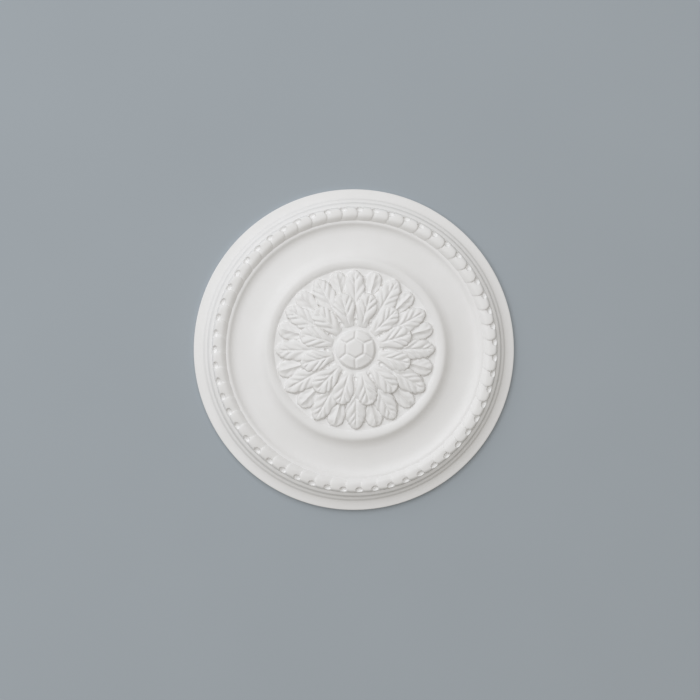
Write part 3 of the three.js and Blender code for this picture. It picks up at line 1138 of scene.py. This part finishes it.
class ROSE_OT_casting(bpy.types.Operator):
    """Fuses body, rope, leaves and boss to one casting and gives it its finish"""
    bl_idname = "rose.casting"
    bl_label = "Fuse Casting"

    def execute(self, context):
        rose = context.scene.rose
        casting = bpy.data.objects[BODY]
        for name in piece_names():
            fuse(casting, bpy.data.objects[name])
        for name in (PITS, EYES):
            fuse(casting, bpy.data.objects[name], 'DIFFERENCE')
        casting.name = CASTING
        take(casting)
        bpy.ops.object.shade_smooth_by_angle(angle=SMOOTH_ANGLE)
        casting.data.materials.clear()
        casting.data.materials.append(white_primer_on_polyurethane_foam(rose.finish))
        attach(casting, "root")
        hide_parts("ceiling_rose")
        return {'FINISHED'}


# Stage

def toward(azimuth, height, distance):
    """A point at a distance from the middle, by clockwise turn from the top and angle over the floor."""
    flat = distance * math.cos(height)
    return Vector((flat * math.sin(azimuth), flat * math.cos(azimuth), distance * math.sin(height)))


def aim(piece, target):
    """Turns a light or a camera to look at a point, with the top of the rose up."""
    back = (piece.location - target).normalized()
    right = Vector((0, 1, 0)).cross(back).normalized()
    up = back.cross(right)
    piece.rotation_euler = Matrix((right, up, back)).transposed().to_euler()


class ROSE_OT_stage(bpy.types.Operator):
    """Sets the floor, the light and the camera"""
    bl_idname = "rose.stage"
    bl_label = "Set Stage"

    def execute(self, context):
        stage = context.scene.rose.stage
        bpy.ops.object.select_all(action='DESELECT')
        bpy.ops.mesh.primitive_plane_add(size=stage.floor_size, location=(0, 0, 0))
        floor = active()
        floor.name = "floor"
        floor.data.materials.append(painted_floor(stage.floor_colour))
        self.set_light(context.scene, stage)
        self.set_camera(context.scene, stage)
        return {'FINISHED'}

    def set_light(self, scene, stage):
        """An even pale sky and one soft key light."""
        scene.world = bpy.data.worlds.new("studio")
        scene.world.use_nodes = True
        sky = scene.world.node_tree.nodes["Background"]
        sky.inputs["Color"].default_value = (*stage.sky_colour, 1)
        sky.inputs["Strength"].default_value = stage.sky_strength
        place = toward(stage.key_azimuth, stage.key_height, stage.key_distance)
        bpy.ops.object.light_add(type='AREA', location=place)
        key = active()
        key.name = "key_light"
        key.data.shape = 'DISK'
        key.data.size = stage.key_size
        key.data.energy = stage.key_power
        key.data.color = stage.key_colour
        aim(key, Vector((0, 0, 0)))
        scene.view_settings.view_transform = 'Standard'

    def set_camera(self, scene, stage):
        """A camera over the rose, so far away that the rim is as large as in the picture."""
        scale = scene.rose.body.outer_radius / RIM_RADIUS_IN_PICTURE
        middle = PICTURE_WIDTH / 2
        target = Vector((
            (middle - RIM_CENTRE_IN_PICTURE[0]) * scale,
            (RIM_CENTRE_IN_PICTURE[1] - middle) * scale,
            scene.rose.body.edge_height))
        bpy.ops.object.camera_add()
        camera = active()
        camera.name = "camera"
        camera.data.lens = stage.lens
        camera.data.clip_end = stage.floor_size * 2
        distance = PICTURE_WIDTH * scale * stage.lens / camera.data.sensor_width
        camera.location = target + distance * Vector((-math.sin(stage.orbit), 0, math.cos(stage.orbit)))
        aim(camera, target)
        scene.camera = camera


# Add-on

class ROSE_PT_panel(bpy.types.Panel):
    """Lists the steps that model the rose"""
    bl_idname = "ROSE_PT_panel"
    bl_label = "Ceiling Rose"
    bl_space_type = 'VIEW_3D'
    bl_region_type = 'UI'
    bl_category = "Rose"

    def draw(self, context):
        for step in STEPS:
            self.layout.operator(step.bl_idname)


STEPS = (ROSE_OT_body, ROSE_OT_rope, ROSE_OT_leaves, ROSE_OT_boss, ROSE_OT_casting, ROSE_OT_stage)
GROUPS = (BodySizes, RopeSizes, LeafSizes, BossSizes, Finish, StageSettings, RoseSettings)


def register():
    """Registers the settings, the steps and the panel."""
    for entry in (*GROUPS, *STEPS, ROSE_PT_panel):
        bpy.utils.register_class(entry)
    bpy.types.Scene.rose = PointerProperty(type=RoseSettings)


def unregister():
    """Takes the settings, the steps and the panel away again."""
    del bpy.types.Scene.rose
    for entry in reversed((*GROUPS, *STEPS, ROSE_PT_panel)):
        bpy.utils.unregister_class(entry)


def main():
    """Models the rose step by step."""
    register()
    bpy.ops.rose.body()
    bpy.ops.rose.rope()
    bpy.ops.rose.leaves()
    bpy.ops.rose.boss()
    bpy.ops.rose.casting()
    bpy.ops.rose.stage()


if __name__ == "__main__":
    main()
